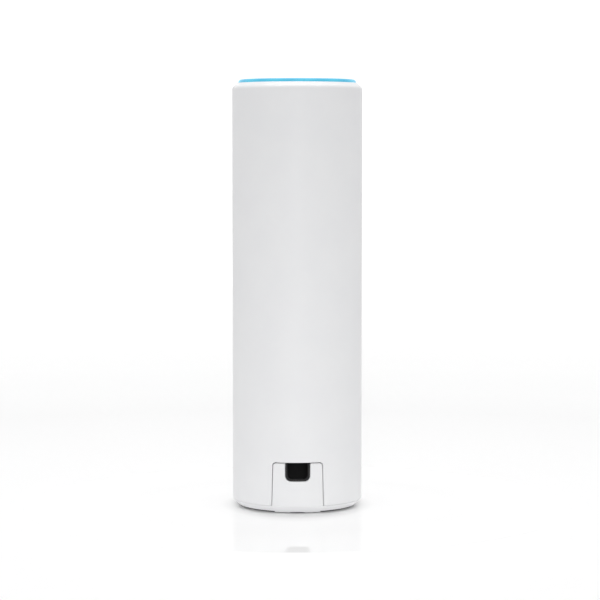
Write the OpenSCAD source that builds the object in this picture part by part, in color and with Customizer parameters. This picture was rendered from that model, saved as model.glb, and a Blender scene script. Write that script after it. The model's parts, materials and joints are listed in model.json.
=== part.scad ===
// Cylindrical mesh wifi node that stands on a desk: a white tube with a lit
// ring at the top and a pull-off base that closes a cable bay.
// Millimetres, +Z up. The origin is the centre of the foot, on the table.
// The cable outlet faces -Y.

/* [Body] */
// Outer diameter of the tube
body_d = 48; // [47.5:0.1:49]
// Height from the table to the top of the lit ring
total_h = 158; // [150:0.5:165]
// Wall of the outer shell
wall = 1.8; // [1.6:0.1:1.9]
// Height and depth of the bevels at the top and the bottom
bevel = 2.1; // [1.8:0.1:2.2]

/* [Base] */
// How far the rubber foot stands below the base cover
foot_proud = 0.6; // [0.4:0.05:0.8]
// Gap round the cable door and between moving parts
gap = 0.3; // [0.2:0.05:0.35]
// Seam between the shell and the base cover
seam = 0.2; // [0.1:0.05:0.25]
// Height of the cable bay's ceiling
bay_h = 22; // [21.5:0.5:23]

/* [Cable door] */
// Half width of the door at its foot
door_foot = 9.35; // [8.8:0.05:9.6]
// Half width of the door at its top
door_head = 8.98; // [8.6:0.02:9.2]
// Height of the door's top edge
door_top = 18.5; // [18.1:0.05:18.8]
// Half width of the cable notch
notch_half = 4.7; // [4.3:0.05:5]
// Height of the cable notch's lower edge
notch_z = 11.9; // [11.4:0.1:12.4]

/* [Light] */
// Outer radius of the lit ring
ring_r = 21.7; // [21.5:0.05:21.8]
// Width of the lit ring seen from above
ring_w = 1.3; // [1.2:0.05:1.35]
// How far the lit ring stands above the bevel
ring_proud = 1.25; // [1:0.05:1.4]
// Number of light emitters
led_count = 12; // [6:1:18]

/* [Electronics] */
// Width of the main board
board_w = 36; // [35.8:0.1:36]
// Length of the main board
board_h = 93; // [92:0.5:93]
// Thickness of the main board
board_t = 1.6; // [1.5:0.1:1.6]
// Radius of an antenna lead
lead_r = 0.57; // [0.4:0.01:0.6]

/* [Hidden] */
antenna_count = 4;
$fn = 96;

// Shell
body_r = body_d / 2;
shell_in = body_r - wall;
base_z = foot_proud;
part_z = base_z + bevel;             // seam between the base cover and the shell
ring_base = total_h - ring_proud;    // where the upper bevel ends
shoulder_z = ring_base - bevel + 0.4;   // where the upper bevel starts
shoulder_round = 1.6;
lip_flat = 0.25;                     // flat rim between the bevel and the lit ring
ring_round = 1;                      // rounding of the lit ring's outer edge
ledge_t = 1.1;                       // thickness of the ledge under the lit ring
fit = 0.05;                          // clearance of a fixed round fit

// Screws
shank_r = 0.8;
pilot_r = 0.85;
clear_r = 1.1;                       // clearance hole
head_r = 1.75;
head_h = 1.3;

// Cable bay housing
housing_r = shell_in - 0.25;
cup_in = housing_r - 1.45;
deck = 3;                            // thickness of the bay's ceiling
deck_top = bay_h + deck;
seat_z = deck_top - 1.6;             // where the deck's screw heads sit
window_half = 5.3;
window_top = 19.5;
boss_r = 17.6;
boss_angles = [45, 135, 270];
boss_h = 9;
rail_screw = [18.3, 0.6];            // the same place at the rail's foot and head
reset_at = [12, -6.2];
heel_r = [21.1, body_r - bevel - 0.1];   // lip under the door that meets the table
heel_z = 0.15;
heel_notch = 3.2;                        // half width of the finger notch in the heel
door_corner = 1.1;
notch_corner = 2.15;

// Main board, upright, with its faces towards -Y (front) and +Y (rear)
board_front = -3.8;
board_rear = board_front + board_t;
board_top = deck_top + board_h;
rail_x = [17.2, 20.4];
rail_y = [-6.6, 2.8];
rail_top = board_top + 0.5;
can_h = 2.2;
can_half = 12;
pad_t = 1;
sink_r = 20.9;
fin_pitch = 3.4;
fin_gap = 1.2;
sink_screw_x = 14.6;
sink_screw_z = [64, 108];
sink_top = 112;
front_sink_z = 52;
rear_sink_z = 60;
front_plate = board_front - can_h - pad_t;
rear_plate = board_rear + can_h + pad_t;
plug_x = 9;
plug_z = 113.8;
plug_neck = 2.6;                      // from a coax plug's centre to the start of its lead

// Network jack, mouth down
jack_half = 7.95;
jack_depth = 13.3;
jack_z = [bay_h + 0.4, bay_h + 21.7];
jack_sheet = 0.2;                    // thickness of the metal round the jack
socket_half = 5.95;
socket_y = [1.1, 7.9];

// Antenna carrier and light engine
carrier_top = total_h - 9.6;
carrier_tube = [13.5, 16.5];
antenna_face = 18.4;
antenna_z = [rail_top + 3.3, carrier_top - 3.4];
stake_z = [antenna_z[0] + 7, antenna_z[1] - 3];
stake_r = 0.7;
led_board_t = 1.2;
led_top = carrier_top + led_board_t;
led_screw_r = 15.5;
led_screw_angles = [90, 210, 330];
led_r = 20.1;
ledge_z = ring_base - 1.85;          // ledge that the lit ring sits on
cap_z = ledge_z + 1.05;
cap_r = ring_r - ring_w - fit;
ledge_r = ring_r - 0.75;             // inner edge of that ledge

// Base cover and foot
snap_ring = [19, 20.2];              // inner and outer radius
snap_ring_top = part_z + 2.6;
foot_r = [14.85, 20.9];
foot_sunk = 0.8;                     // depth of the foot's groove
arm_x = [18.5, 19.9];
arm_half = 3;
arm_top = 16.6;
bead_r = 1;
bead_z = 15.2;

// Shape helpers

// Points of a closed outline whose corners [x, y, radius] are rounded with n steps.
function rounded(corners, n = 5) = [
    for (i = [0:len(corners) - 1])
        let (
            c = corners[i],
            before = corners[(i + len(corners) - 1) % len(corners)],
            after = corners[(i + 1) % len(corners)],
            p = [c[0], c[1]],
            r = c[2],
            u = unit([before[0], before[1]] - p),
            v = unit([after[0], after[1]] - p),
            half = acos(max(-1, min(1, u * v))) / 2
        )
        each r == 0 ? [p] : arc_points(p, u, v, r, half, n)
];
function unit(v) = v / norm(v);
function arc_points(p, u, v, r, half, n) =
    let (
        centre = p + unit(u + v) * r / sin(half),
        from = p + u * r / tan(half) - centre,
        to = p + v * r / tan(half) - centre,
        start = atan2(from[1], from[0]),
        turn = atan2(to[1], to[0]) - start,
        sweep = turn > 180 ? turn - 360 : (turn < -180 ? turn + 360 : turn)
    )
    [for (k = [0:n]) centre + r * [cos(start + sweep * k / n), sin(start + sweep * k / n)]];

module turned(corners, n = 5)
    rotate_extrude() polygon(rounded(corners, n));

module ring(r_in, r_out, z0, z1)
    translate([0, 0, z0]) difference() {
        cylinder(r = r_out, h = z1 - z0);
        translate([0, 0, -1]) cylinder(r = r_in, h = z1 - z0 + 2);
    }

module post(x, y, z0, z1, r)
    translate([x, y, z0]) cylinder(r = r, h = z1 - z0);

// A round bar along Y between two values of y.
module bar_y(x, z, y0, y1, r)
    translate([x, y1, z]) rotate([90, 0, 0]) cylinder(r = r, h = y1 - y0);

module block(x, y, z)
    translate([x[0], y[0], z[0]]) cube([x[1] - x[0], y[1] - y[0], z[1] - z[0]]);

// An outline in x and z, pushed from the axis out through the -Y side.
module through_front(corners)
    rotate([90, 0, 0]) linear_extrude(height = 30) polygon(rounded(corners));

// A block of w by l by h standing on the board's front or rear face.
module on_front(x, z, w, l, h)
    block([x - w / 2, x + w / 2], [board_front - h, board_front], [z - l / 2, z + l / 2]);
module on_rear(x, z, w, l, h)
    block([x - w / 2, x + w / 2], [board_rear, board_rear + h], [z - l / 2, z + l / 2]);

// Cable door

// Outline of the door, or of its slot when grown by the gap.
module door_outline(grow, z_low) {
    foot = door_foot + grow;
    head = door_head + grow;
    top = door_top + grow;
    through_front([
        [-foot, z_low, 0], [foot, z_low, 0],
        [head, top, door_corner + grow / 2], [-head, top, door_corner + grow / 2]
    ]);
}

// Outline of the cable notch, made smaller by inset and open at z_high.
module notch_outline(inset, z_high)
    through_front([
        [-notch_half + inset, z_high, 0], [notch_half - inset, z_high, 0],
        [notch_half - inset - 0.06, notch_z + inset, notch_corner - inset / 2],
        [-notch_half + inset + 0.06, notch_z + inset, notch_corner - inset / 2]
    ]);

// Shell and top

module outer_shell() color("whitesmoke") difference() {
    union() {
        turned([
            [body_r, part_z + seam, 0.2], [body_r, shoulder_z, shoulder_round],
            [ring_r + fit + lip_flat, ring_base, 0.1], [ring_r + fit, ring_base, 0],
            [ring_r + fit, ledge_z, 0], [ledge_r, ledge_z, 0],
            [ledge_r, ledge_z - ledge_t, 0], [shell_in, ledge_z - ledge_t - (shell_in - ledge_r), 0],
            [shell_in, part_z + seam, 0]
        ]);
        for (a = boss_angles) rotate(a) shell_boss();
    }
    door_outline(gap, 0);
    for (a = boss_angles) rotate(a) post(boss_r, 0, deck_top - 1, deck_top + boss_h - 1, pilot_r);
}

// A screw boss and the web that ties it to the shell.
module shell_boss() {
    post(boss_r, 0, deck_top, deck_top + boss_h, 2.6);
    block([boss_r + 1, shell_in + 0.3], [-1.3, 1.3], [deck_top, deck_top + boss_h]);
}

module top_cap() color("white") {
    rim = 1.6;
    dome = 0.25;
    rotate_extrude() polygon(concat(
        [[0, cap_z]],
        [[cap_r, cap_z], [cap_r, cap_z + rim - 0.25], [cap_r - 0.08, cap_z + rim - 0.07]],
        [for (k = [0:12]) let (r = (cap_r - 0.25) * (1 - k / 12))
            [r, cap_z + rim + dome * (1 - pow(r / cap_r, 2))]]
    ));
    ring(16.8, 18.1, led_top + 2.4, cap_z);
}

module light_ring() color("deepskyblue") {
    inner = ring_r - ring_w;
    turned([
        [inner - 0.8, led_top + 2.2, 0], [inner + 0.4, led_top + 2.2, 0],
        [inner + 0.4, ledge_z, 0], [ring_r, ledge_z, 0],
        [ring_r, total_h, ring_round], [inner, total_h, 0.15],
        [inner, cap_z - fit, 0], [inner - 0.8, cap_z - fit, 0]
    ]);
}

module light_baffle() color("ivory")
    ring(18.2, ring_r - ring_w - 0.9, led_top, cap_z - fit);

// Light engine

module led_board() color("seagreen") difference() {
    ring(11, 20.8, carrier_top, led_top);
    for (a = led_screw_angles) rotate(a) post(led_screw_r, 0, carrier_top - 1, led_top + 1, clear_r);
}

module leds() color("lightyellow")
    for (i = [0:led_count - 1]) rotate(i * 360 / led_count) {
        block([led_r - 0.45, led_r + 0.45], [-0.8, 0.8], [led_top, led_top + 0.5]);
        block([led_r - 0.3, led_r + 0.3], [-0.55, 0.55], [led_top + 0.5, led_top + 0.7]);
    }

// One socket on the light board and one at the head of the main board.
module led_connectors() color("ivory") {
    difference() {
        block([-4.5, 4.5], [-15, -11.2], [led_top, led_top + 1.4]);
        block([-3.1, 3.1], [-12.7, -11], [led_top + 0.3, led_top + 0.7]);
    }
    difference() {
        block([-4.5, 4.5], [board_front - 2, board_front], [113, 116.5]);
        block([-3.1, 3.1], [-5, -4.6], [115, 117]);
    }
}

module led_ribbon() color("lightsteelblue") {
    z = led_top + 0.35;
    translate([-3, 0, 0]) rotate([90, 0, 90]) linear_extrude(height = 6) polygon(rounded([
        [-12.6, z + 0.3, 0], [-4.65, z + 0.3, 2.15], [-4.65, 115.1, 0],
        [-4.95, 115.1, 0], [-4.95, z, 1.85], [-12.6, z, 0]
    ]));
}

// A pan-head screw pointing up (+Z): head below z, shank above it.
module screw_up(x, y, z, shank, r = shank_r) {
    difference() {
        post(x, y, z - head_h, z, head_r);
        translate([x, y, z - head_h - 0.1]) cross_drive();
    }
    post(x, y, z, z + shank, r);
}

// The same screw pointing down: head above z, shank below it.
module screw_down(x, y, z, shank, r = shank_r)
    translate([x, y, z]) mirror([0, 0, 1]) screw_up(0, 0, 0, shank, r);

module cross_drive() {
    slot = [2.2, 0.4, 0.8];
    for (turn = [0, 90]) rotate(turn) translate([-slot[0] / 2, -slot[1] / 2, 0]) cube(slot);
}

module led_board_screws() color("silver")
    for (a = led_screw_angles) rotate(a) screw_down(led_screw_r, 0, led_top, 6);

// Antennas

function antenna_angle(i) = 45 + (i - 1) * 360 / antenna_count;

module antenna_carrier() color("dimgray") difference() {
    union() {
        ring(carrier_tube[0], carrier_tube[1], rail_top, carrier_top);
        ring(carrier_tube[0], 21, rail_top, rail_top + 2);
        ring(carrier_tube[0], 18, carrier_top - 2, carrier_top);
        for (a = led_screw_angles) rotate(a) post(led_screw_r, 0, carrier_top - 9, carrier_top, 2);
        for (i = [1:antenna_count]) rotate(antenna_angle(i)) antenna_pad();
    }
    for (i = [1:antenna_count]) rotate(antenna_angle(i)) {
        block([15.6, 18.9], [-1.7, 1.7], [rail_top - 1, rail_top + 3]);
        translate([0, 0, rail_top + 8]) window_between_antennas();
    }
    for (a = led_screw_angles) rotate(a) post(led_screw_r, 0, carrier_top - 7, carrier_top + 1, pilot_r);
    for (s = [-1, 1]) post(s * rail_screw[0], rail_screw[1], rail_top - 1, rail_top + 3, clear_r);
}

// The flat that an antenna lies on, with the two stakes that hold it.
module antenna_pad() {
    block([15.9, antenna_face], [-5, 5], [antenna_z[0] + 5, antenna_z[1]]);
    for (z = stake_z)
        translate([antenna_face - 0.5, 0, z]) rotate([0, 90, 0]) cylinder(r = stake_r, h = 1.5);
}

// An opening through the tube, half way to the next antenna.
module window_between_antennas()
    rotate(180 / antenna_count) block([12, 18], [-3.5, 3.5], [0, 10]);

module antenna(i) color("darkgoldenrod") rotate(antenna_angle(i)) {
    z = antenna_z;
    half = 6.8;
    difference() {
        block([antenna_face, antenna_face + 0.4], [-half, half], z);
        for (hole_z = stake_z)
            translate([antenna_face - 1, 0, hole_z]) rotate([0, 90, 0]) cylinder(r = stake_r + fit, h = 3);
        for (s = [-1, 1])
            block([antenna_face - 1, antenna_face + 1], s > 0 ? [3, 4] : [-4, -3], [z[0] - 1, z[1] - 6]);
        block([antenna_face - 1, antenna_face + 1], [-half - 1, -half + 3], [z[0] + 12, z[0] + 13]);
    }
    block([antenna_face - 1.6, antenna_face], [-1, 1], [z[0], z[0] + 0.4]);
}

// A coax lead from a plug on the main board out to an antenna's foot.
module antenna_lead(i) color("black") {
    a = antenna_angle(i);
    side = sin(a) > 0 ? 1 : -1;
    face = side > 0 ? board_rear + 0.7 : board_front - 0.7;
    foot = 17.2 * [cos(a), sin(a)];
    x = plug_x * sign(cos(a));
    tube_along([
        [x, face, plug_z + plug_neck + 0.03], [x, face, plug_z + plug_neck + 3],
        [foot[0], foot[1], plug_z - 1.5], [foot[0], foot[1], antenna_z[0] - 0.1]
    ], lead_r, [foot[1], -foot[0], 0]);
}

function bezier(p, t) =
    pow(1 - t, 3) * p[0] + 3 * t * pow(1 - t, 2) * p[1] + 3 * t * t * (1 - t) * p[2] + pow(t, 3) * p[3];

// A round tube along a cubic curve, its rings turned so that one axis leans on "across".
module tube_along(p, r, across, rings = 18, sides = 8) {
    path = [for (k = [0:rings]) bezier(p, k / rings)];
    points = [
        for (k = [0:rings])
            let (
                ahead = path[min(k + 1, rings)],
                behind = path[max(k - 1, 0)],
                at_end = k == 0 ? unit(p[1] - p[0]) : unit(p[3] - p[2]),
                along = k == 0 || k == rings ? at_end : unit(ahead - behind),
                u = unit(cross(along, across)),
                v = cross(along, u)
            )
            for (s = [0:sides - 1]) path[k] + r * (u * cos(360 * s / sides) + v * sin(360 * s / sides))
    ];
    faces = concat(
        [[for (s = [0:sides - 1]) s]],
        [for (k = [0:rings - 1]) for (s = [0:sides - 1])
            let (a = k * sides + s, b = k * sides + (s + 1) % sides)
            each [[a, a + sides, b + sides], [a, b + sides, b]]],
        [[for (s = [sides - 1:-1:0]) rings * sides + s]]
    );
    polyhedron(points = points, faces = faces);
}

module coax_plugs() color("gold")
    for (x = [-plug_x, plug_x]) {
        bar_y(x, plug_z, board_front - 1.3, board_front, 1.4);
        post(x, board_front - 0.7, plug_z + 1, plug_z + plug_neck, 0.6);
        bar_y(x, plug_z, board_rear, board_rear + 1.3, 1.4);
        post(x, board_rear + 0.7, plug_z + 1, plug_z + plug_neck, 0.6);
    }

module carrier_screws() color("silver")
    for (s = [-1, 1]) screw_down(s * rail_screw[0], rail_screw[1], rail_top + 2, 7);

// Main board and its parts

module main_board() color("darkgreen") difference() {
    block([-board_w / 2, board_w / 2], [board_front, board_rear], [deck_top, board_top]);
    for (x = [-sink_screw_x, sink_screw_x], z = sink_screw_z)
        bar_y(x, z, board_front - 1, board_rear + 1, 1.15);
}

module processor_chip() color("dimgray") {
    on_front(0, 82, 15, 15, 1.1);
    on_front(0, 82, 11, 11, 1.4);
}

module memory_chips() color("dimgray") {
    for (x = [-5.5, 5.5]) on_front(x, 66.5, 8, 10, 1.1);
    on_front(0, 94.5, 8, 6, 1);
}

module radio_chips() color("dimgray") {
    for (z = [74, 92]) on_rear(0, z, 10, 10, 0.9);
    for (x = [-8.5, 8.5], z = [70, 78, 88, 96]) on_rear(x, z, 3, 3, 0.8);
}

module surface_parts() color("tan") {
    for (k = [0:7]) on_front(-14 + 4 * k, 54.5, 0.8, 1.6, 0.5);
    for (k = [0:5]) on_front(-16, 70 + 5 * k, 1.6, 0.8, 0.5);
    for (k = [0:5]) on_front(16, 70 + 5 * k, 1.6, 0.8, 0.5);
    for (k = [0:4]) on_rear(-16, 74 + 5 * k, 1.6, 0.8, 0.5);
    for (k = [0:4]) on_rear(16, 74 + 5 * k, 1.6, 0.8, 0.5);
    for (k = [0:3]) on_front(-15, 30 + 4 * k, 2, 1.2, 0.6);
    on_front(-15.1, 46, 3.4, 3.6, 1.6);
    on_rear(-11, 36, 4, 6, 2.4);
    on_rear(12.5, 34, 5, 5, 1.5);
}

// A pressed can over a field of chips, open towards the board.
module shield_can(y0, y1, open_y, z) difference() {
    block([-can_half, can_half], [y0, y1], z);
    block([-can_half + 0.2, can_half - 0.2], open_y, [z[0] + 0.2, z[1] - 0.2]);
    for (x = [-9:3:9], hole_z = [z[0] + 2, z[1] - 2]) bar_y(x, hole_z, y0 - 1, y1 + 1, 0.6);
}

module front_shield_can() color("silver")
    shield_can(board_front - can_h, board_front, [board_front - can_h + 0.2, board_front + 1], [60, 100]);

module rear_shield_can() color("silver")
    shield_can(board_rear, board_rear + can_h, [board_rear - 1, board_rear + can_h - 0.2], [66, 102]);

module front_thermal_pad() color("lightblue")
    block([-10, 10], [front_plate, front_plate + pad_t], [66, 94]);

module rear_thermal_pad() color("lightblue")
    block([-10, 10], [rear_plate - pad_t, rear_plate], [71, 97]);

// Finned profile of a heatsink, with its plate on the line y = plate and its fins towards side.
module sink_profile(plate, plate_t, side) intersection() {
    circle(r = sink_r);
    difference() {
        translate([-sink_r, side > 0 ? plate : plate - sink_r]) square([2 * sink_r, sink_r]);
        for (k = [-4.5:4.5])
            translate([k * fin_pitch - fin_gap / 2, side > 0 ? plate + plate_t : plate - plate_t - sink_r])
                square([fin_gap, sink_r]);
        for (s = [-1, 1])
            translate([s > 0 ? rail_x[0] - 0.3 : -sink_r - 1, -1])
                square([sink_r - rail_x[0] + 1.3, rail_y[1] + 1.4]);
    }
}

module front_heatsink() color("lightgray") {
    plate_t = 3;
    difference() {
        union() {
            translate([0, 0, front_sink_z]) linear_extrude(height = sink_top - front_sink_z)
                sink_profile(front_plate, plate_t, -1);
            for (x = [-sink_screw_x, sink_screw_x], z = sink_screw_z)
                bar_y(x, z, front_plate - 1, board_front, 2.2);
        }
        for (x = [-sink_screw_x, sink_screw_x], z = sink_screw_z) {
            bar_y(x, z, -sink_r, front_plate - plate_t, 2.4);
            bar_y(x, z, front_plate - plate_t - 1, board_front + 1, 1.15);
        }
    }
}

module rear_heatsink() color("lightgray") {
    plate_t = 4;
    difference() {
        union() {
            translate([0, 0, rear_sink_z]) linear_extrude(height = sink_top - rear_sink_z)
                sink_profile(rear_plate, plate_t, 1);
            for (x = [-sink_screw_x, sink_screw_x], z = sink_screw_z)
                bar_y(x, z, board_rear, rear_plate + 1, 2.2);
        }
        for (x = [-sink_screw_x, sink_screw_x], z = sink_screw_z)
            bar_y(x, z, board_rear - 1, rear_plate + 3.4, 0.95);
    }
}

module heatsink_screws() color("silver") {
    head_y = front_plate - 3;
    for (x = [-sink_screw_x, sink_screw_x], z = sink_screw_z)
        translate([x, head_y, z]) rotate([-90, 0, 0]) screw_up(0, 0, 0, rear_plate + 3 - head_y, 0.9);
}

module capacitors() color("slategray")
    for (at = [[5.6, 49.8], [12.6, 49.8], [12.6, 56.6]]) {
        on_rear(at[0], at[1], 6.6, 6.6, 1);
        bar_y(at[0], at[1], board_rear + 1, board_rear + 7.7, 3.15);
    }

module power_inductors() color("dimgray")
    for (x = [-9.5, 9.5]) {
        on_front(x, 47.2, 7, 7, 1);
        bar_y(x, 47.2, board_front - 4, board_front - 1, 3.2);
    }

// Magnetics of the network port, a flat block with a row of legs along each long side.
module lan_transformer() color("black") {
    block([-7, 7], [board_front - 6, board_front - 0.3], [29.5, 42]);
    for (s = [-1, 1], k = [0:5])
        block(s > 0 ? [7, 8.2] : [-8.2, -7], [board_front - 0.8, board_front],
            [30.5 + 2 * k, 31.1 + 2 * k]);
}

module transformer_core() color("dimgray") {
    block([-14, -11.6], [board_rear + 0.8, board_rear + 10], [47.5, 56.5]);
    block([-4.4, -2], [board_rear + 0.8, board_rear + 10], [47.5, 56.5]);
    block([-11.6, -4.4], [board_rear + 7.6, board_rear + 10], [47.5, 56.5]);
    block([-11.6, -4.4], [board_rear + 0.8, board_rear + 2.6], [47.5, 56.5]);
    block([-15, -1], [board_rear, board_rear + 0.8], [46, 58]);
}

module transformer_winding() color("goldenrod")
    bar_y(-8, 52, board_rear + 2.6, board_rear + 7.6, 3.55);

// Network jack

module jack_housing() color("black") difference() {
    t = jack_sheet;
    socket_z = [jack_z[0] - 1, jack_z[0] + 12];
    block([-jack_half + t, jack_half - t], [board_rear + t, board_rear + jack_depth - t],
        [jack_z[0], jack_z[1] - t]);
    block([-socket_half, socket_half], socket_y, socket_z);
    block([-3.2, 3.2], [socket_y[1] - 1, socket_y[1] + 1.5], socket_z);
    block([-1.9, 1.9], [socket_y[1] - 1, socket_y[1] + 2.2], socket_z);
}

module jack_shield() color("silver") difference() {
    t = jack_sheet;
    block([-jack_half, jack_half], [board_rear, board_rear + jack_depth], [jack_z[0] + 0.1, jack_z[1]]);
    block([-jack_half + t, jack_half - t], [board_rear + t, board_rear + jack_depth - t],
        [jack_z[0] - 1, jack_z[1] - t]);
    for (s = [-1, 1])
        block(s > 0 ? [jack_half - 1, jack_half + 1] : [-jack_half - 1, -jack_half + 1],
            [3, 6], [jack_z[0] + 6, jack_z[0] + 6.4]);
}

// Eight spring wires that lean out from the wall beside the board.
module jack_contacts() color("gold")
    for (k = [0:7])
        translate([-3.57 + 1.02 * k - 0.23, socket_y[0] + 0.25, jack_z[0] + 1.2])
            rotate([-10, 0, 0]) cube([0.46, 0.3, 10.4]);

// Reset button

module reset_switch() color("dimgray") difference() {
    block([reset_at[0] - 2.4, reset_at[0] + 2.4], [board_front - 3.6, board_front],
        [deck_top + 1.3, deck_top + 4.8]);
    post(reset_at[0], reset_at[1], deck_top, deck_top + 3.2, 0.85);
}

module reset_plunger() color("darkred")
    post(reset_at[0], reset_at[1], deck_top + 0.6, deck_top + 2.5, 0.7);

module reset_button() color("lightgray") {
    post(reset_at[0], reset_at[1], bay_h + 0.5, deck_top + 0.1, 1.25);
    post(reset_at[0], reset_at[1], deck_top + 0.1, deck_top + 0.6, 2);
}

// Frame

// A grooved rail that holds one edge of the main board; side is 1 or -1.
module board_rail(side) color("dimgray") mirror([side < 0 ? 1 : 0, 0, 0]) difference() {
    union() {
        block(rail_x, rail_y, [deck_top, rail_top]);
        intersection() {
            ring(18.9, housing_r, deck_top, deck_top + 2.5);
            block([8, 23], [-15, 11], [deck_top, deck_top + 3]);
        }
    }
    block([rail_x[0] - 1, board_w / 2 + 0.1], [board_front - 0.1, board_rear + 0.1],
        [deck_top - 1, rail_top + 1]);
    for (z = [deck_top - 1, rail_top - 7.5])
        post(rail_screw[0], rail_screw[1], z, z + 8.5, pilot_r);
}

module rail_screws() color("silver")
    for (s = [-1, 1]) screw_up(s * rail_screw[0], rail_screw[1], seat_z, 8);

// Black cup that forms the cable bay: a deck, and a wall with a window for the cable.
module bay_housing() color([0.12, 0.12, 0.13]) difference() {
    union() {
        post(0, 0, bay_h, deck_top, housing_r);
        ring(cup_in, housing_r, part_z + gap, bay_h);
    }
    block([-window_half, window_half], [-25, -18], [0, window_top]);
    block([-jack_half - 0.3, jack_half + 0.3], [board_rear - 0.2, board_rear + jack_depth + 0.3],
        [bay_h - 1, deck_top + 1]);
    post(reset_at[0], reset_at[1], bay_h - 1, deck_top + 1, 1.55);
    for (a = boss_angles) rotate(a) screw_seat(boss_r, 0);
    for (s = [-1, 1]) screw_seat(s * rail_screw[0], rail_screw[1]);
    for (s = [-1, 1]) bar_y(s * (cup_in - 0.95), bead_z, -2.6, 2.6, bead_r + 0.3);
}

// A clearance hole through the deck with a counterbore for the head.
module screw_seat(x, y) {
    post(x, y, bay_h - 1, deck_top + 1, clear_r);
    post(x, y, bay_h - 1, seat_z, head_r + 0.25);
}

module chassis_screws() color("silver")
    for (a = boss_angles) rotate(a) screw_up(boss_r, 0, seat_z, 8);

// Base

module base_cover() color("whitesmoke") difference() {
    union() {
        turned([
            [0, base_z, 0], [body_r - bevel, base_z, 0.15], [body_r, part_z, 0.25],
            [snap_ring[1], part_z, 0], [snap_ring[1], snap_ring_top, 0.2],
            [snap_ring[0], snap_ring_top, 0.2], [snap_ring[0], part_z - 0.3, 0], [0, part_z - 0.3, 0]
        ]);
        intersection() {
            ring(heel_r[0], heel_r[1], heel_z, base_z + 0.5);
            door_outline(0, 0);
        }
        difference() {
            intersection() {
                ring(shell_in + 0.1, body_r, part_z - 1, door_top + 1);
                door_outline(0, part_z - 1);
            }
            notch_outline(0, door_top + 2);
        }
        for (s = [-1, 1]) snap_arm(s);
    }
    ring(foot_r[0] - fit, foot_r[1] + fit, base_z - 1, base_z + foot_sunk);
    block([-heel_notch, heel_notch], [-body_r, -20], [0, heel_z + 0.2]);
}

// An upright arm whose round bead snaps into the bay's wall; side is 1 or -1.
module snap_arm(side) mirror([side < 0 ? 1 : 0, 0, 0]) {
    block(arm_x, [-arm_half, arm_half], [part_z - 0.5, arm_top]);
    bar_y(cup_in - 1.35, bead_z, -2, 2, bead_r);
}

// Rubber liner of the cable notch, with a flange behind the door.
module cable_grommet() color([0.08, 0.08, 0.08]) difference() {
    union() {
        intersection() {
            ring(shell_in, body_r - 0.7, notch_z - 2, door_top);
            notch_outline(0.03, door_top);
        }
        intersection() {
            ring(21, shell_in + 0.05, notch_z - 2, door_top);
            notch_outline(-0.55, door_top);
        }
    }
    notch_outline(0.65, door_top + 1);
}

module foot_pad() color([0.2, 0.2, 0.21])
    turned([
        [foot_r[0], 0, 0.3], [foot_r[1], 0, 0.3],
        [foot_r[1], base_z + foot_sunk, 0], [foot_r[0], base_z + foot_sunk, 0]
    ]);

outer_shell();
top_cap();
light_ring();
light_baffle();
led_board();
leds();
led_connectors();
led_ribbon();
led_board_screws();
antenna_carrier();
carrier_screws();
coax_plugs();
for (i = [1:antenna_count]) antenna(i);
for (i = [1:antenna_count]) antenna_lead(i);
main_board();
processor_chip();
memory_chips();
radio_chips();
surface_parts();
front_shield_can();
rear_shield_can();
front_thermal_pad();
rear_thermal_pad();
front_heatsink();
rear_heatsink();
heatsink_screws();
capacitors();
power_inductors();
lan_transformer();
transformer_core();
transformer_winding();
jack_housing();
jack_shield();
jack_contacts();
reset_switch();
reset_plunger();
reset_button();
board_rail(-1);  // board_rail_left
board_rail(1);  // board_rail_right
rail_screws();
bay_housing();
chassis_screws();
base_cover();
cable_grommet();
foot_pad();
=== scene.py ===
import json
import math

import bmesh
import bpy
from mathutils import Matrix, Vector
from mathutils.geometry import delaunay_2d_cdt


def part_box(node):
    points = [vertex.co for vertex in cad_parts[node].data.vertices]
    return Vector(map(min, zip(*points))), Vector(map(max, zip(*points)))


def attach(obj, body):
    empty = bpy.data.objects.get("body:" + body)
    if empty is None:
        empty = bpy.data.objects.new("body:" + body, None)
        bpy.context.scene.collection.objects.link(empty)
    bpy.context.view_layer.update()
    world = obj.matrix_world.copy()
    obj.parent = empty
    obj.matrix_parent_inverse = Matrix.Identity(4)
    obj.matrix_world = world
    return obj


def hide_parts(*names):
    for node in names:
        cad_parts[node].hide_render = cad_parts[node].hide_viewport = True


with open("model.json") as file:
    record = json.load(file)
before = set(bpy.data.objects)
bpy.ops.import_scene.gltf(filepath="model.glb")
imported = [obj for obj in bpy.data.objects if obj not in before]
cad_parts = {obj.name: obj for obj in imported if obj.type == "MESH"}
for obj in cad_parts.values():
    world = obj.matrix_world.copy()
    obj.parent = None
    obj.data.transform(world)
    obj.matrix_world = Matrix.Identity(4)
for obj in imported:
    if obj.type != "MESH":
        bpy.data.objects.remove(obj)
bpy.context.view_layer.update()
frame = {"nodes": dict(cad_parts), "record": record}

# A white cylindrical mesh wifi node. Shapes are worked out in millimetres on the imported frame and
# written to Blender in metres. The cable door faces -Y.

MM = 0.001
SHELL_BODY = "tube_and_electronics"
BASE_BODY = "base"


def box_mm(name):
    """Lowest and highest corner of a CAD node in millimetres."""
    low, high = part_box(name)
    return low / MM, high / MM


# ---- sizes taken from the frame ----

shell_low, shell_high = box_mm("outer_shell")
ring_low, ring_high = box_mm("light_ring")
cap_low, cap_high = box_mm("top_cap")
cover_low, cover_high = box_mm("base_cover")
foot_high = box_mm("foot_pad")[1]

TUBE_R = shell_high.x
TUBE_TOP = shell_high.z               # upper end of the bevel
RING_R = ring_high.x
RING_TOP = ring_high.z
CAP_R = cap_high.x
DOOR_TOP = cover_high.z
FOOT_R = foot_high.x
FOOT_TOP = foot_high.z

# ---- sizes that the boxes don't show, as in the part ----

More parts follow.
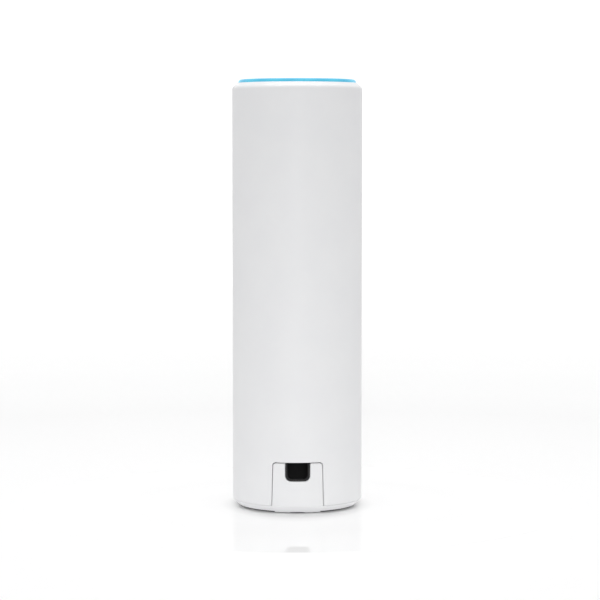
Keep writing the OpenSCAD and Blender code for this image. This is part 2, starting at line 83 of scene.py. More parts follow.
WALL = 1.8
FIT = 0.05                            # clearance between pieces that drop into each other
BEVEL = 2.1                           # the lower bevel, wide and high
SLOPE = math.sin(math.pi / 4)         # the lower bevel lies at 45 degrees
SHOULDER_ROUND = 1.55                 # between the tube's side and the upper bevel
FOOT_PROUD = 0.6                      # the foot's height below the base cover

SEAM = 0.2
SEAM_SHOWN = 0.07                     # finer than in the part, as the photograph shows it
FOLD_Z = shell_low.z - SEAM           # where the base cover's bevel meets the tube's surface
FOLD_SOFTNESS = 0.3                   # half the length of the rounded fold there
TUBE_FOOT = FOLD_Z + SEAM_SHOWN       # lower edge of the shell's lip

GAP = 0.3                             # round the door
DOOR_FOOT_HALF = 9.35
DOOR_HEAD_HALF = 8.98
DOOR_CORNER = 1.1
SLOT_MOUTH = 0.4                      # rounding of the slot's lower corners
NOTCH_HALF = 4.7
NOTCH_DRAFT = 0.06                    # how much narrower each side of the notch is at its foot
NOTCH_Z = 11.9
NOTCH_CORNER = 2.15

RING_WIDTH = 1.3
RING_ROUND = 1.0                      # the lit ring's outer upper edge
LEDGE_Z = TUBE_TOP - 1.85             # seat of the lit ring
LEDGE_R = RING_R - 0.75               # inner edge of the seat
CAP_FLOOR_Z = LEDGE_Z + 1.05          # underside of the top cap
CAP_BRIM = 1.6                        # the cap's thickness at its edge
CAP_RIM_R = (16.8, 18.1)              # the locating rim under it

FOOT_INNER_R = 14.85
FOOT_GROOVES = (16.4, 17.9, 19.4)     # radii of the grooves in the foot's underside
DISH_R = 11.2                         # the shallow dish in the middle of the underside
DISH_DEPTH = 0.3
SNAP_RING_R = (19.0, 20.2)            # the low wall on the cover's upper side
SNAP_RING_HIGH = 2.6
ARM_X = (18.5, 19.9)                  # the two snap arms, left and right
ARM_HALF = 3.0
ARM_TOP = 16.6
BEAD_X = 19.15                        # axis of the bead on each arm
BEAD_Z = 15.2
BEAD_R = 1.0
BEAD_HALF = 2.0
HEEL_Z = cover_low.z + 0.1            # the lip under the door, a little higher than in the part
HEEL_INNER_R = 21.1
HEEL_OUTER_R = TUBE_R - BEVEL - 0.1
HEEL_NOTCH_HALF = 3.4                 # the lip's shallow notch for a fingertip
HEEL_NOTCH_DEPTH = 0.18

LINER_PROUD = 0.65                    # how far the notch liner reaches into the notch
LINER_BEHIND = 0.5                    # how far its flange reaches behind the door
LINER_DEPTHS = (0.7, 1.75, 2.6)       # below the tube's surface: face, door's back, flange

# ---- fineness of the meshes ----

COLUMNS = 240                         # round the tube
STEP = 2 * math.pi / COLUMNS
AROUND = [STEP * i for i in range(COLUMNS)]

# The finely meshed patch with the door in it, and the rest of the way round.
PATCH_COLUMNS = 20                    # each side of the door's centre line
PATCH_TOP = DOOR_TOP + 4.5
ACROSS = [STEP * i * TUBE_R for i in range(-PATCH_COLUMNS, PATCH_COLUMNS + 1)]
PATCH_HALF = ACROSS[-1]
OUTSIDE_PATCH = [STEP * i for i in range(PATCH_COLUMNS, COLUMNS - PATCH_COLUMNS + 1)]

EDGE = 0.2                            # radius of the small moulded edges
EDGE_TURNS = [math.pi / 2 * k / 5 for k in range(6)]
SPACING = 0.55                        # longest stretch between the points of an outline
GRID_CLEAR = 0.25                     # how near a grid point may come to an outline
BOX_STEPS = 3                         # along each rounded edge of a box
WELD = 0.0005
CREASE = 40.0                         # degrees from which an edge is shown sharp


# ---- outlines ----

def unit(x, y):
    """The direction of a step (x, y), with length 1."""
    length = math.hypot(x, y)
    return x / length, y / length


def rounded(corners, closed=False, steps=6):
    """Points of a path whose corners (u, v, radius) are replaced by arcs."""
    points = []
    count = len(corners)
    for i, (u, v, radius) in enumerate(corners):
        at_end = not closed and i in (0, count - 1)
        if radius == 0 or at_end:
            points.append((u, v))
            continue
        before = corners[i - 1]
        after = corners[(i + 1) % count]
        a = unit(before[0] - u, before[1] - v)
        b = unit(after[0] - u, after[1] - v)
        half = math.acos(max(-1.0, min(1.0, a[0] * b[0] + a[1] * b[1]))) / 2
        middle = unit(a[0] + b[0], a[1] + b[1])
        reach = radius / math.sin(half)
        centre = (u + middle[0] * reach, v + middle[1] * reach)
        along = radius / math.tan(half)
        start = math.atan2(v + a[1] * along - centre[1], u + a[0] * along - centre[0])
        end = math.atan2(v + b[1] * along - centre[1], u + b[0] * along - centre[0])
        turn = (end - start + math.pi) % (2 * math.pi) - math.pi
        for k in range(steps + 1):
            angle = start + turn * k / steps
            points.append((centre[0] + radius * math.cos(angle),
                           centre[1] + radius * math.sin(angle)))
    return points


def spaced(path, spacing=SPACING):
    """The same path with its long straight stretches cut into equal pieces."""
    out = [path[0]]
    for (u0, v0), (u1, v1) in zip(path, path[1:]):
        pieces = max(1, math.ceil(math.hypot(u1 - u0, v1 - v0) / spacing))
        out += [(u0 + (u1 - u0) * k / pieces, v0 + (v1 - v0) * k / pieces)
                for k in range(1, pieces + 1)]
    return out


def offset(path, distance):
    """An open path moved to its left by distance."""
    out = []
    for i, (u, v) in enumerate(path):
        before = unit(u - path[i - 1][0], v - path[i - 1][1]) if i > 0 else None
        after = unit(path[i + 1][0] - u, path[i + 1][1] - v) if i + 1 < len(path) else None
        before = before or after
        after = after or before
        normal = unit(-before[1] - after[1], before[0] + after[0])
        stretch = max(0.5, -before[1] * normal[0] + before[0] * normal[1])
        out.append((u + normal[0] * distance / stretch, v + normal[1] * distance / stretch))
    return out


def inside(point, boundary):
    """True where point lies within the closed boundary."""
    u, v = point
    hit = False
    for (u0, v0), (u1, v1) in zip(boundary, boundary[1:] + boundary[:1]):
        if (v0 > v) != (v1 > v) and u < (u1 - u0) * (v - v0) / (v1 - v0) + u0:
            hit = not hit
    return hit


def rows_between(low, high, count):
    """Values from low to high in count equal steps."""
    return [low + (high - low) * k / count for k in range(count + 1)]


def filled(boundary, us=(), vs=()):
    """Points and triangles that fill a closed boundary, with grid points at us by vs inside it."""
    grid = []
    for v in vs:
        for u in us:
            near = any(abs(u - p[0]) < GRID_CLEAR and abs(v - p[1]) < GRID_CLEAR for p in boundary)
            if not near and inside((u, v), boundary):
                grid.append((u, v))
    count = len(boundary)
    points = [Vector(p) for p in boundary + grid]
    edges = [(i, (i + 1) % count) for i in range(count)]
    made, _, faces, *_ = delaunay_2d_cdt(points, edges, [list(range(count))], 1, 1e-7)
    return [tuple(p) for p in made], faces


# ---- skins ----

class Skin:
    """Points in millimetres and faces, welded into one mesh when the piece is made."""

    def __init__(self):
        self.points = []
        self.faces = []

    def strip(self, rows, closed=False):
        """Quads between rows of points of equal length."""
        start = len(self.points)
        width = len(rows[0])
        for row in rows:
            self.points += row
        for r in range(len(rows) - 1):
            for i in range(width if closed else width - 1):
                j = (i + 1) % width
                low, high = start + r * width, start + (r + 1) * width
                self.faces.append((low + i, low + j, high + j, high + i))

    def patch(self, points, faces):
        """Adds points, and faces that are numbered from the first of them."""
        start = len(self.points)
        self.points += points
        self.faces += [tuple(start + i for i in face) for face in faces]

    def turned(self, profile, angles=AROUND):
        """Turns a profile of (radius, z) about the axis, all the way round for AROUND."""
        rows = [[polar(r, a, z) for a in angles] for r, z in profile]
        self.strip(rows, closed=angles is AROUND)

    def lathe(self, corners, steps=6):
        """A closed solid of revolution from rounded corners (radius, z, rounding)."""
        profile = rounded(corners, closed=True, steps=steps)
        self.turned(profile + profile[:1])

    def swept(self, sections):
        """A closed solid through sections, each a closed loop of points."""
        self.strip(sections, closed=True)
        for end in (sections[0], sections[-1]):
            self.patch(list(end), [tuple(range(len(end)))])


def polar(radius, angle, z):
    """A point at an angle measured from the door's side, -Y, towards +X."""
    return radius * math.sin(angle), -radius * math.cos(angle), z


def cushioned(skin, low, high, edge):
    """A box with rounded edges, built up as a stack of rounded rectangles."""
    lifts = [math.pi / 2 * k / BOX_STEPS for k in range(BOX_STEPS + 1)]
    levels = [(low[2] + edge * (1 - math.sin(t)), edge * (1 - math.cos(t)))
              for t in reversed(lifts)]
    levels += [(high[2] - edge * (1 - math.sin(t)), edge * (1 - math.cos(t)))
               for t in lifts]
    sections = []
    for z, inset in sorted(levels):
        u0, v0, u1, v1 = low[0] + inset, low[1] + inset, high[0] - inset, high[1] - inset
        radius = max(edge - inset, 0.001)
        corners = [(u0, v0, radius), (u1, v0, radius), (u1, v1, radius), (u0, v1, radius)]
        outline = rounded(corners, closed=True, steps=BOX_STEPS)
        sections.append([(u, v, z) for u, v in outline])
    skin.swept(sections)


def piece(name, skin, body, slot, replaces):
    """Makes the skin an object that rides on a body and stands for CAD nodes."""
    mesh = bpy.data.meshes.new(name)
    mesh.from_pydata([Vector(p) * MM for p in skin.points], [], skin.faces)
    work = bmesh.new()
    work.from_mesh(mesh)
    bmesh.ops.remove_doubles(work, verts=work.verts, dist=WELD * MM)
    bmesh.ops.dissolve_degenerate(work, edges=work.edges, dist=WELD * MM)
    bmesh.ops.recalc_face_normals(work, faces=work.faces)
    open_edges = sum(1 for e in work.edges if len(e.link_faces) != 2)
    if open_edges:
        print(f"{name}: {open_edges} edges don't join two faces")
    work.to_mesh(mesh)
    work.free()
    mesh.shade_smooth()
    mesh.set_sharp_from_angle(angle=math.radians(CREASE))
    mesh.materials.append(materials[slot])
    obj = bpy.data.objects.new(name, mesh)
    bpy.context.scene.collection.objects.link(obj)
    even = obj.modifiers.new("even_normals", "WEIGHTED_NORMAL")
    even.keep_sharp = True
    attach(obj, body)
    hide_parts(*replaces)


# ---- materials ----

materials = {}                        # by the record's slot names
EMITTERS = 12.0                       # under the lit ring


def shader(name, metallic=0.0):
    """A new material for a slot, and its main shader."""
    material = bpy.data.materials.new(name)
    material.use_nodes = True
    materials[name] = material
    main = material.node_tree.nodes["Principled BSDF"]
    main.inputs["Metallic"].default_value = metallic
    return material, main


def node(material, kind, **inputs):
    """A node with its named inputs set, or linked where a socket is given."""
    made = material.node_tree.nodes.new(kind)
    for key, value in inputs.items():
        socket = made.inputs[key.replace("_", " ").title()]
        if isinstance(value, bpy.types.NodeSocket):
            material.node_tree.links.new(value, socket)
        else:
            socket.default_value = value
    return made


def math_node(material, operation, first, second=None):
    """Arithmetic on one or two numbers or sockets."""
    made = material.node_tree.nodes.new("ShaderNodeMath")
    made.operation = operation
    for socket, value in zip(made.inputs, (first, second)):
        if isinstance(value, bpy.types.NodeSocket):
            material.node_tree.links.new(value, socket)
        elif value is not None:
            socket.default_value = value
    return made.outputs[0]


def place(material):
    """The object's own coordinates, in metres."""
    return node(material, "ShaderNodeTexCoord").outputs["Object"]


def noise(material, scale, detail=3.0):
    """Soft irregular patches, fixed to the object."""
    return node(material, "ShaderNodeTexNoise", vector=place(material), scale=scale, detail=detail,
                roughness=0.55).outputs["Fac"]


def spread(material, value, low, high, start=0.3, end=0.7):
    """Maps a pattern's middle range onto low to high."""
    mapped = node(material, "ShaderNodeMapRange", value=value)
    for key, number in (("From Min", start), ("From Max", end), ("To Min", low), ("To Max", high)):
        mapped.inputs[key].default_value = number
    return mapped.outputs["Result"]


def blended(material, factor, first, second):
    """Two colours, or colour sockets, mixed by a factor socket."""
    mix = material.node_tree.nodes.new("ShaderNodeMix")
    mix.data_type = "RGBA"
    material.node_tree.links.new(factor, mix.inputs[0])
    for socket, colour in ((mix.inputs[6], first), (mix.inputs[7], second)):
        if isinstance(colour, bpy.types.NodeSocket):
            material.node_tree.links.new(colour, socket)
        else:
            socket.default_value = (*colour, 1.0)
    return mix.outputs[2]


def bump(material, main, height, depth):
    """Raises the surface by height times depth, in metres."""
    made = node(material, "ShaderNodeBump", strength=1.0, distance=depth, height=height)
    material.node_tree.links.new(made.outputs["Normal"], main.inputs["Normal"])


def grained(name, colour, second, roughness, grain=3000.0, depth=0.00002, patch=60.0,
            metallic=0.0):
    """A moulded or cast surface: two close colours in soft patches, fine grain, uneven sheen."""
    material, main = shader(name, metallic)
    link = material.node_tree.links.new
    patches = spread(material, noise(material, patch), 0.0, 1.0)
    link(blended(material, patches, colour, second), main.inputs["Base Color"])
    sheen = spread(material, noise(material, patch * 2.7), roughness[0], roughness[1])
    link(sheen, main.inputs["Roughness"])
    bump(material, main, noise(material, grain, detail=2.0), depth)


def lit_ring_material():
    """Blue light guide: each emitter below it makes a slightly paler stretch."""
    material, main = shader("lit_ring")
    link = material.node_tree.links.new
    axes = node(material, "ShaderNodeSeparateXYZ", vector=place(material))
    around = math_node(material, "ARCTAN2", axes.outputs["Y"], axes.outputs["X"])
    wave = math_node(material, "SINE", math_node(material, "MULTIPLY", around, EMITTERS))
    glow = spread(material, wave, 0.0, 1.0, -1.0, 1.0)
    drift = spread(material, noise(material, 45.0, detail=1.0), 0.0, 1.0)
    deep = blended(material, drift, (0.030, 0.270, 0.420), (0.045, 0.310, 0.440))
    lit = blended(material, glow, deep, (0.060, 0.360, 0.480))
    link(lit, main.inputs["Emission Color"])
    main.inputs["Emission Strength"].default_value = 1.0
    body = blended(material, drift, (0.02, 0.18, 0.28), (0.03, 0.22, 0.32))
    link(body, main.inputs["Base Color"])
    link(spread(material, noise(material, 900.0), 0.25, 0.4), main.inputs["Roughness"])


def board_material():
    """Green solder resist over a web of copper tracks, with a finely uneven sheen."""
    material, main = shader("board_green")
    link = material.node_tree.links.new
    tracks = material.node_tree.nodes.new("ShaderNodeTexVoronoi")
    tracks.feature = "DISTANCE_TO_EDGE"
    tracks.inputs["Scale"].default_value = 420.0
    link(place(material), tracks.inputs["Vector"])
    line = spread(material, tracks.outputs["Distance"], 1.0, 0.0, 0.04, 0.09)
    patches = spread(material, noise(material, 120.0), 0.0, 1.0)
    resist = blended(material, patches, (0.012, 0.11, 0.05), (0.02, 0.15, 0.07))
    link(blended(material, line, resist, (0.05, 0.26, 0.10)), main.inputs["Base Color"])
    link(spread(material, noise(material, 700.0), 0.25, 0.38), main.inputs["Roughness"])
    bump(material, main, line, 0.00003)


def banded(name, colour, second, scale, direction):
    """Parallel stripes, as on a wound coil or a ribbon cable."""
    material, main = shader(name)
    link = material.node_tree.links.new
    bands = material.node_tree.nodes.new("ShaderNodeTexWave")
    bands.bands_direction = direction
    bands.inputs["Scale"].default_value = scale
    bands.inputs["Distortion"].default_value = 0.4
    link(place(material), bands.inputs["Vector"])
    link(blended(material, bands.outputs["Fac"], colour, second), main.inputs["Base Color"])
    link(spread(material, noise(material, 500.0), 0.39, 0.51), main.inputs["Roughness"])
    bump(material, main, bands.outputs["Fac"], 0.00002)


def make_materials():
    """One material for each of the record's slots."""
    grained("white_shell", (0.77, 0.772, 0.785), (0.79, 0.792, 0.80), (0.42, 0.50), 3500.0,
            0.000012)
    grained("white_cap", (0.78, 0.782, 0.79), (0.80, 0.80, 0.81), (0.40, 0.48), 3500.0, 0.000012)
    lit_ring_material()
    grained("diffuser_white", (0.80, 0.79, 0.74), (0.84, 0.83, 0.78), (0.5, 0.6))
    board_material()
    grained("emitter", (0.85, 0.74, 0.28), (0.92, 0.84, 0.45), (0.2, 0.3), patch=900.0)
    grained("connector_white", (0.74, 0.71, 0.60), (0.80, 0.77, 0.67), (0.45, 0.55))
    banded("ribbon", (0.55, 0.57, 0.60), (0.78, 0.80, 0.83), 320.0, "X")
    grained("screw_steel", (0.52, 0.52, 0.53), (0.66, 0.66, 0.66), (0.25, 0.42), 2600.0, 0.00001,
            patch=400.0, metallic=1.0)
    grained("black_plastic", (0.018, 0.018, 0.019), (0.028, 0.028, 0.030), (0.45, 0.60))
    grained("gold_plate", (0.72, 0.50, 0.16), (0.83, 0.62, 0.25), (0.18, 0.30), 2200.0, 0.000005,
            patch=300.0, metallic=1.0)
    grained("antenna_brass", (0.66, 0.50, 0.24), (0.74, 0.60, 0.33), (0.25, 0.40), 2200.0, 0.000008,
            patch=200.0, metallic=1.0)
    grained("lead_sleeve", (0.020, 0.020, 0.022), (0.035, 0.035, 0.036), (0.30, 0.40))
    grained("chip_black", (0.022, 0.022, 0.024), (0.038, 0.038, 0.040), (0.50, 0.62), 4000.0)
    grained("ceramic_parts", (0.42, 0.30, 0.18), (0.60, 0.47, 0.32), (0.35, 0.50), patch=500.0)
    grained("can_steel", (0.58, 0.58, 0.57), (0.70, 0.70, 0.69), (0.22, 0.36), 1800.0, 0.000008,
            patch=150.0, metallic=1.0)
    grained("thermal_pad", (0.40, 0.55, 0.70), (0.50, 0.64, 0.77), (0.70, 0.85), 1500.0, 0.00004)
    grained("sink_aluminium", (0.70, 0.71, 0.72), (0.80, 0.81, 0.82), (0.35, 0.50), 2600.0, 0.00002,
            patch=90.0, metallic=1.0)
    grained("capacitor_can", (0.60, 0.61, 0.64), (0.70, 0.71, 0.74), (0.22, 0.32), 1500.0, 0.000005,
            metallic=1.0)
    grained("ferrite", (0.060, 0.060, 0.064), (0.105, 0.105, 0.11), (0.55, 0.70), 1400.0, 0.00005)
    banded("winding_tape", (0.62, 0.42, 0.07), (0.80, 0.60, 0.16), 260.0, "Y")
    grained("plunger_red", (0.36, 0.03, 0.02), (0.44, 0.05, 0.03), (0.35, 0.45))
    grained("button_grey", (0.42, 0.42, 0.43), (0.50, 0.50, 0.51), (0.45, 0.55))
    grained("black_rubber", (0.012, 0.012, 0.013), (0.020, 0.020, 0.021), (0.65, 0.80), 2000.0,
            0.00003)
    grained("foot_rubber", (0.085, 0.085, 0.088), (0.115, 0.115, 0.118), (0.70, 0.85), 1600.0,
            0.00005)


# ---- pieces ----

def on_tube(s, z, depth=0.0):
    """A point by its distance s round the tube, its height and its depth below the surface."""
    return polar(TUBE_R - depth, s / TUBE_R, z)


def on_cover(s, v, depth=0.0):
    """As on_tube for the base cover: v is 0 at the fold and runs down the bevel below it."""
    if v >= FOLD_SOFTNESS:
        inset, z = 0.0, v
    elif v <= -FOLD_SOFTNESS:
        inset, z = -v * SLOPE, v * SLOPE
    else:
        radius = FOLD_SOFTNESS / math.tan(math.pi / 8)
        angle = math.pi / 8 * (1 - v / FOLD_SOFTNESS)
        inset, z = radius * (1 - math.cos(angle)), FOLD_SOFTNESS - radius * math.sin(angle)
    return polar(TUBE_R - inset - depth, s / TUBE_R, FOLD_Z + z)


def along_tube(x):
    """Distance round the tube at a distance x to one side of the door's centre line."""
    return TUBE_R * math.asin(x / TUBE_R)


def door_half(z):
    """Half width of the door at a height."""
    share = (z - FOLD_Z) / (DOOR_TOP - FOLD_Z)
    return along_tube(DOOR_FOOT_HALF + (DOOR_HEAD_HALF - DOOR_FOOT_HALF) * share)


def rim(skin, path, space, side):
    """The rounded edge of a skin along a path, then the wall's thickness behind it.

    The material is to the path's left for side 1 and to its right for side -1.
    """
    rows = []
    for t in EDGE_TURNS:
        line = offset(path, side * EDGE * (1 - math.sin(t)))
        rows.append([space(u, v, EDGE * (1 - math.cos(t))) for u, v in line])
    rows.append([space(u, v, WALL) for u, v in path])
    skin.strip(rows)


def face(skin, boundary, space, rows, depth=0.0):
    """Fills a boundary with a smooth skin that follows the tube or the cover."""
    points, faces = filled(boundary, ACROSS, rows)
    skin.patch([space(u, v, depth) for u, v in points], faces)


def slot_path():
    """The shell's lower edge in front, with the door's slot in it."""
    foot, head, top = door_half(TUBE_FOOT) + GAP, door_half(DOOR_TOP) + GAP, DOOR_TOP + GAP
    return spaced(rounded([
        (-PATCH_HALF, TUBE_FOOT, 0), (-foot, TUBE_FOOT, SLOT_MOUTH),
        (-head, top, DOOR_CORNER + GAP / 2), (head, top, DOOR_CORNER + GAP / 2),
        (foot, TUBE_FOOT, SLOT_MOUTH), (PATCH_HALF, TUBE_FOOT, 0)]))


def shell():
    """The outer tube with its bevelled top and the slot for the door."""
    skin = Skin()
    inner = TUBE_R - WALL
    heights = rows_between(TUBE_FOOT + EDGE, PATCH_TOP, 26)
    seat = RING_R + FIT
    upper = rounded([
        (TUBE_R, PATCH_TOP, 0), (TUBE_R, TUBE_TOP - BEVEL + 0.4, SHOULDER_ROUND),
        (seat + 0.2, TUBE_TOP, 0.12), (seat, TUBE_TOP, 0.05), (seat, LEDGE_Z, 0),
        (LEDGE_R, LEDGE_Z, 0), (LEDGE_R, LEDGE_Z - 1.1, 0), (inner, LEDGE_Z - 2.35, 0),
        (inner, PATCH_TOP, 0)])
    skin.turned(upper)
    foot_edge = [(TUBE_R - EDGE * (1 - math.cos(t)), TUBE_FOOT + EDGE * (1 - math.sin(t)))
                 for t in EDGE_TURNS]
    lower = [(TUBE_R, z) for z in reversed(heights)] + foot_edge[1:] + [(inner, TUBE_FOOT)]
    lower += [(inner, z) for z in heights]
    skin.turned(lower, OUTSIDE_PATCH)
    path = slot_path()
    rim(skin, path, on_tube, 1)
    for line, depth in ((offset(path, EDGE), 0.0), (path, WALL)):
        above = [z for z in heights if z > line[0][1] + 1e-6]
        right = [(PATCH_HALF, z) for z in above]
        left = [(-PATCH_HALF, z) for z in reversed(above)]
        top = [(u, PATCH_TOP) for u in reversed(ACROSS[1:-1])]
        face(skin, line + right + top + left, on_tube, heights, depth)
    piece("shell_moulding", skin, SHELL_BODY, "white_shell", ["outer_shell"])


def cover_path():
    """The base cover's upper edge in front: seam, door, notch, door, seam."""
    foot, head, top = door_half(FOLD_Z), door_half(DOOR_TOP), DOOR_TOP - FOLD_Z
    notch, notch_v = along_tube(NOTCH_HALF), NOTCH_Z - FOLD_Z
    return spaced(rounded([
        (-PATCH_HALF, 0, 0), (-foot, 0, 0.35), (-head, top, DOOR_CORNER), (-notch, top, 0.4),
        (-notch + NOTCH_DRAFT, notch_v, NOTCH_CORNER), (notch - NOTCH_DRAFT, notch_v, NOTCH_CORNER),
        (notch, top, 0.4), (head, top, DOOR_CORNER), (foot, 0, 0.35), (PATCH_HALF, 0, 0)], steps=8))


def base_cover():
    """Bevelled cap with the cable door standing on it."""
    skin = Skin()
    low_v = -BEVEL / SLOPE + 0.3
    depths = rows_between(-EDGE, low_v, 5)
    path = cover_path()
    seam_z = on_cover(0, 0)[2]
    seam_r = -on_cover(0, 0, WALL)[1]

    # below the bevel: the foot's groove and the flat inside it
    start = on_cover(0, low_v)
    dish_z = FOOT_PROUD + DISH_DEPTH
    skin.turned(rounded([
        (-start[1], start[2], 0), (TUBE_R - BEVEL, FOOT_PROUD, 0.2),
        (FOOT_R + FIT, FOOT_PROUD, 0.1), (FOOT_R + FIT, FOOT_TOP, 0),
        (FOOT_INNER_R - FIT, FOOT_TOP, 0), (FOOT_INNER_R - FIT, FOOT_PROUD, 0.15),
        (DISH_R, FOOT_PROUD, 0.15), (DISH_R - DISH_DEPTH, dish_z, 0.15), (0, dish_z, 0)], steps=4))

    # behind the seam: the flat that meets the shell, the snap ring and the floor of the cable bay
    shelf_r = seam_r - 0.6
    ring_z, bay_z = seam_z + SNAP_RING_HIGH, seam_z - 0.3
    inner, outer = SNAP_RING_R
    skin.turned(rounded([
        (shelf_r, seam_z, 0), (outer, seam_z, 0.1), (outer, ring_z, 0.2), (inner, ring_z, 0.2),
        (inner, bay_z, 0.15), (0, bay_z, 0)], steps=4))

    # round the back: bevel, tip and seam
    tip = []
    for t in EDGE_TURNS:
        _, y, z = on_cover(0, -EDGE * (1 - math.sin(t)), EDGE * (1 - math.cos(t)))
        tip.append((-y, z))
    bevel = [(-on_cover(0, v)[1], on_cover(0, v)[2]) for v in reversed(depths)]
    skin.turned(bevel + tip[1:] + [(seam_r, seam_z), (shelf_r, seam_z)], OUTSIDE_PATCH)

    # in front: the bevel runs up into the door
    rim(skin, path, on_cover, -1)
    fold_rows = [FOLD_SOFTNESS * k / 3 for k in range(-3, 4)]
    rows = depths[1:-1] + fold_rows + rows_between(0.8, DOOR_TOP - FOLD_Z - 0.6, 24)
    edge_line = offset(path, -EDGE)
    right = [(PATCH_HALF, v) for v in depths[1:]]
    left = [(-PATCH_HALF, v) for v in reversed(depths[1:])]
    bottom = [(u, low_v) for u in reversed(ACROSS[1:-1])]
    face(skin, edge_line + right + bottom + left, on_cover, rows)

    # the door's back and the strip of seam below it
    low_left = max(i for i, p in enumerate(path) if p[0] < 0 and p[1] < 1e-6)
    low_right = min(i for i, p in enumerate(path) if p[0] > 0 and p[1] < 1e-6)
    hem = [p[0] for p in spaced([path[low_left], path[low_right]], 0.8)]
    back = path[low_left:low_right + 1] + [(u, 0.0) for u in reversed(hem[1:-1])]
    face(skin, back, on_cover, rows, WALL)
    outside = path[:low_left] + [(u, 0.0) for u in hem] + path[low_right + 1:]
    flat = [(u, seam_r) for u, _ in outside] + [(u, shelf_r) for u in reversed(ACROSS)]
    points, faces = filled(flat)
    skin.patch([polar(r, u / TUBE_R, seam_z) for u, r in points], faces)

    # the lip that meets the table below the door, with a shallow notch for a fingertip
    heel_half = door_half(FOLD_Z) - 0.15
    high = FOOT_PROUD + 0.15
    sections = []
    for u in rows_between(-heel_half, heel_half, 44):
        low = HEEL_Z + HEEL_NOTCH_DEPTH * max(0.0, 1 - (u / HEEL_NOTCH_HALF) ** 4)
        loop = rounded([
            (HEEL_INNER_R, low, 0.06), (HEEL_OUTER_R, low, 0.08), (HEEL_OUTER_R, high, 0.02),
            (HEEL_INNER_R, high, 0.02)], closed=True, steps=3)
        sections.append([polar(r, u / TUBE_R, z) for r, z in loop])
    skin.swept(sections)

    # the two snap arms with their beads
    turns = [2 * math.pi * k / 24 for k in range(24)]
    for side in (-1, 1):
        x0, x1 = sorted((side * ARM_X[0], side * ARM_X[1]))
        cushioned(skin, (x0, -ARM_HALF, seam_z - 0.4), (x1, ARM_HALF, ARM_TOP), 0.25)
        bead = [(side * (BEAD_X + BEAD_R * math.cos(a)), BEAD_Z + BEAD_R * math.sin(a))
                for a in turns]
        skin.swept([[(x, y, z) for x, z in bead] for y in (-BEAD_HALF, BEAD_HALF)])
    piece("base_moulding", skin, BASE_BODY, "white_shell", ["base_cover"])


def grommet():
    """The rubber liner of the notch: a U with a flange behind the door."""
    notch, top = along_tube(NOTCH_HALF), DOOR_TOP
    path = spaced(rounded([
        (-notch, top, 0), (-notch + NOTCH_DRAFT, NOTCH_Z, NOTCH_CORNER),
        (notch - NOTCH_DRAFT, NOTCH_Z, NOTCH_CORNER), (notch, top, 0)], steps=8))
    face_depth, back_depth, flange_depth = LINER_DEPTHS
    section = rounded([
        (0.04, face_depth, 0.05), (LINER_PROUD, face_depth, 0.2), (LINER_PROUD, flange_depth, 0.1),
        (-LINER_BEHIND, flange_depth, 0.1), (-LINER_BEHIND, back_depth + 0.1, 0.05),
        (0.04, back_depth + 0.1, 0.02)], closed=True, steps=3)
    lines = {inset: offset(path, inset) for inset, _ in section}
    skin = Skin()
    skin.swept([[on_tube(lines[inset][i][0], min(lines[inset][i][1], top), depth)
                 for inset, depth in section] for i in range(len(path))])
    piece("notch_liner", skin, BASE_BODY, "black_rubber", ["cable_grommet"])


def foot():
    """Rubber ring with rounded edges and three fine grooves."""
    skin = Skin()
    corners = [(FOOT_INNER_R, 0, 0.25)]
    for groove in FOOT_GROOVES:
        corners += [(groove - 0.22, 0, 0.06), (groove - 0.1, 0.2, 0.06), (groove + 0.1, 0.2, 0.06),
                    (groove + 0.22, 0, 0.06)]
    corners += [(FOOT_R, 0, 0.25), (FOOT_R, FOOT_TOP, 0.05), (FOOT_INNER_R, FOOT_TOP, 0.05)]
    skin.lathe(corners, steps=4)
    piece("foot_ring", skin, BASE_BODY, "foot_rubber", ["foot_pad"])


def lit_ring():
    """Light guide: a ring with soft upper edges, and the skirt that stands on the light board."""
    skin = Skin()
    inner = RING_R - RING_WIDTH
    skirt_in, skirt_out = inner - 0.8, inner + 0.4
    shelf_z = cap_low.z + 3.9
    skin.lathe([
        (skirt_in, ring_low.z, 0.1), (skirt_out, ring_low.z, 0.1), (skirt_out, LEDGE_Z, 0.05),
        (RING_R, LEDGE_Z, 0.05), (RING_R, RING_TOP, RING_ROUND), (inner, RING_TOP, 0.15),
        (inner, shelf_z, 0), (skirt_in, shelf_z, 0.05)])
    piece("light_guide", skin, SHELL_BODY, "lit_ring", ["light_ring"])


def top_cap():
    """Slightly domed lid inside the lit ring, with its locating rim below."""
    skin = Skin()
    brim_z = CAP_FLOOR_Z + CAP_BRIM
    crown = cap_high.z - brim_z
    dome_r = CAP_R - 0.45
    dome = [(r, brim_z + crown * (1 - (r / CAP_R) ** 2)) for r in rows_between(dome_r, 0, 24)]
    edge = rounded([(CAP_R, CAP_FLOOR_Z, 0), (CAP_R, brim_z, 0.3), (dome_r, dome[0][1], 0)])
    inner, outer = CAP_RIM_R
    below = [(0, CAP_FLOOR_Z), (inner, CAP_FLOOR_Z), (inner, cap_low.z), (outer, cap_low.z),
             (outer, CAP_FLOOR_Z)]
    skin.turned(below + edge + dome[1:])
    piece("lid", skin, SHELL_BODY, "white_cap", ["top_cap"])


# ---- stage ----

OVERHEAD_WATTS = 8.6
FRONT_WATTS = 0.067
FILL = 0.6                            # surroundings as matt surfaces see them
SURROUND = 1.1                        # surroundings as the camera and polished surfaces see them
